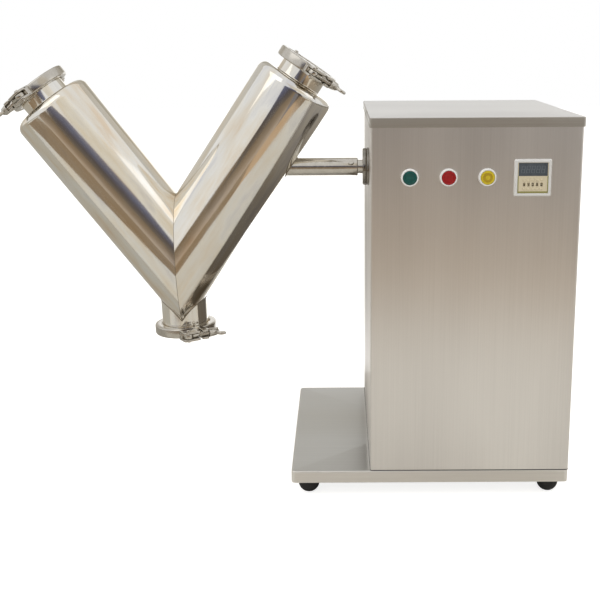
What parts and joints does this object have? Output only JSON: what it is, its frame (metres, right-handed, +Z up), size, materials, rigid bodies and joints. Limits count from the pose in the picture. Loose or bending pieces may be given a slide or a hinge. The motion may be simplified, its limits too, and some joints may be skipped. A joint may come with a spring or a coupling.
{
  "type": "v-blender",
  "caption": "Bench V-shaped powder blender: a two-legged steel drum with clamped ports, turned by one shaft beside a steel drive cabinet.",
  "frame": {"origin": "on the floor, in the middle of the object's box", "axes": "+X from the drum to the cabinet, -Y towards the operator, +Z up"},
  "size_m": [0.9141, 0.4275, 0.7239],
  "materials": {
    "brushed_sheet": "brushed",
    "mirror_steel": "mirror polished stainless",
    "satin_steel": "satin",
    "turned_steel": "turned",
    "zinc_steel": "zinc plated",
    "painted_frame": "semi-gloss paint",
    "cast_aluminium": "cast",
    "bronze": "machined",
    "copper_winding": "varnished copper",
    "foot_rubber": "matte",
    "seal_rubber": "matte",
    "white_bezel": "gloss",
    "black_plastic": "moulded",
    "grey_frame": "moulded",
    "beige_face": "moulded",
    "dark_display": "gloss",
    "green_cap": "gloss",
    "red_cap": "gloss",
    "yellow_cap": "gloss"
  },
  "bodies": {
    "stand": {"base_tray": "brushed_sheet", "base_plate": "zinc_steel", "feet": "foot_rubber", "foot_studs": "zinc_steel", "cabinet_shell": "brushed_sheet", "back_panel": "brushed_sheet", "panel_screws": "zinc_steel", "lid": "brushed_sheet", "drive_frame": "painted_frame", "gearbox_housing": "cast_aluminium", "gearbox_cover": "cast_aluminium", "drive_screws": "zinc_steel", "bearings": "turned_steel", "motor_housing": "cast_aluminium", "motor_stator": "copper_winding", "motor_flange": "cast_aluminium", "fan_cowl": "painted_frame", "terminal_box": "cast_aluminium", "hub_flange": "turned_steel", "hub_plate": "turned_steel", "button_bezels": "white_bezel", "button_nuts": "black_plastic", "contact_blocks": "black_plastic", "timer_frame": "grey_frame", "timer_case": "beige_face", "timer_window": "dark_display", "din_rail": "zinc_steel", "contactor": "black_plastic", "cable_gland": "black_plastic"},
    "drum": {"drive_shaft": "turned_steel", "worm_wheel": "bronze", "wheel_key": "turned_steel", "shaft_sleeve": "satin_steel", "sleeve_screw": "satin_steel", "drum_shell": "mirror_steel", "gaskets": "seal_rubber", "left_cap": "satin_steel", "right_cap": "satin_steel", "outlet_cap": "satin_steel", "left_clamp": "satin_steel", "right_clamp": "satin_steel", "outlet_clamp": "satin_steel", "clamp_pins": "satin_steel"},
    "rotor": {"worm_shaft": "turned_steel", "motor_rotor": "turned_steel", "cooling_fan": "black_plastic"},
    "green_button": {"green_button": "green_cap"},
    "red_button": {"red_button": "red_cap"},
    "yellow_button": {"yellow_button": "yellow_cap"},
    "digit_1": {"digit_wheel_1": "beige_face"},
    "digit_2": {"digit_wheel_2": "beige_face"},
    "digit_3": {"digit_wheel_3": "beige_face"},
    "digit_4": {"digit_wheel_4": "beige_face"},
    "digit_5": {"digit_wheel_5": "beige_face"},
    "left_bolt": {"left_eye_bolt": "satin_steel"},
    "left_nut": {"left_wing_nut": "satin_steel"},
    "right_bolt": {"right_eye_bolt": "satin_steel"},
    "right_nut": {"right_wing_nut": "satin_steel"},
    "outlet_bolt": {"outlet_eye_bolt": "satin_steel"},
    "outlet_nut": {"outlet_wing_nut": "satin_steel"}
  },
  "joints": [
    {"name": "drum_spin", "type": "hinge", "parent": "stand", "child": "drum", "pos_m": [0.1325, -0.099, 0.5292], "axis": [1, 0, 0], "continuous": true},
    {"name": "motor_spin", "type": "hinge", "parent": "stand", "child": "rotor", "pos_m": [0.2105, -0.099, 0.4782], "axis": [0, 1, 0], "continuous": true},
    {"name": "green_press", "type": "slide", "parent": "stand", "child": "green_button", "axis": [0, 1, 0], "range_m": [0, 0.004], "stiffness_N_per_m": 500},
    {"name": "red_press", "type": "slide", "parent": "stand", "child": "red_button", "axis": [0, 1, 0], "range_m": [0, 0.004], "stiffness_N_per_m": 500},
    {"name": "yellow_press", "type": "slide", "parent": "stand", "child": "yellow_button", "axis": [0, 1, 0], "range_m": [0, 0.004], "stiffness_N_per_m": 500},
    {"name": "digit_1_turn", "type": "hinge", "parent": "stand", "child": "digit_1", "pos_m": [0.3663, -0.2025, 0.5145], "axis": [1, 0, 0], "continuous": true},
    {"name": "digit_2_turn", "type": "hinge", "parent": "stand", "child": "digit_2", "pos_m": [0.3729, -0.2025, 0.5145], "axis": [1, 0, 0], "continuous": true},
    {"name": "digit_3_turn", "type": "hinge", "parent": "stand", "child": "digit_3", "pos_m": [0.3795, -0.2025, 0.5145], "axis": [1, 0, 0], "continuous": true},
    {"name": "digit_4_turn", "type": "hinge", "parent": "stand", "child": "digit_4", "pos_m": [0.3861, -0.2025, 0.5145], "axis": [1, 0, 0], "continuous": true},
    {"name": "digit_5_turn", "type": "hinge", "parent": "stand", "child": "digit_5", "pos_m": [0.3927, -0.2025, 0.5145], "axis": [1, 0, 0], "continuous": true},
    {"name": "left_bolt_swing", "type": "hinge", "parent": "drum", "child": "left_bolt", "pos_m": [-0.40798, -0.16269, 0.64881], "axis": [-0.609, 0, 0.7931], "range_deg": [0, 100]},
    {"name": "left_nut_travel", "type": "slide", "parent": "left_bolt", "child": "left_nut", "axis": [-0.6869, 0.5, -0.5274], "range_m": [0, 0.012]},
    {"name": "right_bolt_swing", "type": "hinge", "parent": "drum", "child": "right_bolt", "pos_m": [0.04546, -0.16269, 0.68191], "axis": [-0.5589, 0, -0.8292], "range_deg": [0, 100]},
    {"name": "right_nut_travel", "type": "slide", "parent": "right_bolt", "child": "right_nut", "axis": [0.7181, 0.5, -0.484], "range_m": [0, 0.012]},
    {"name": "outlet_bolt_swing", "type": "hinge", "parent": "drum", "child": "outlet_bolt", "pos_m": [-0.16197, -0.16269, 0.26168], "axis": [0.0309, 0, -0.9995], "range_deg": [0, 100]},
    {"name": "outlet_nut_travel", "type": "slide", "parent": "outlet_bolt", "child": "outlet_nut", "axis": [0.8656, 0.5, 0.0267], "range_m": [0, 0.012]}
  ],
  "couplings": [
    {"joint": "motor_spin", "follows": "drum_spin", "ratio": -40}
  ]
}
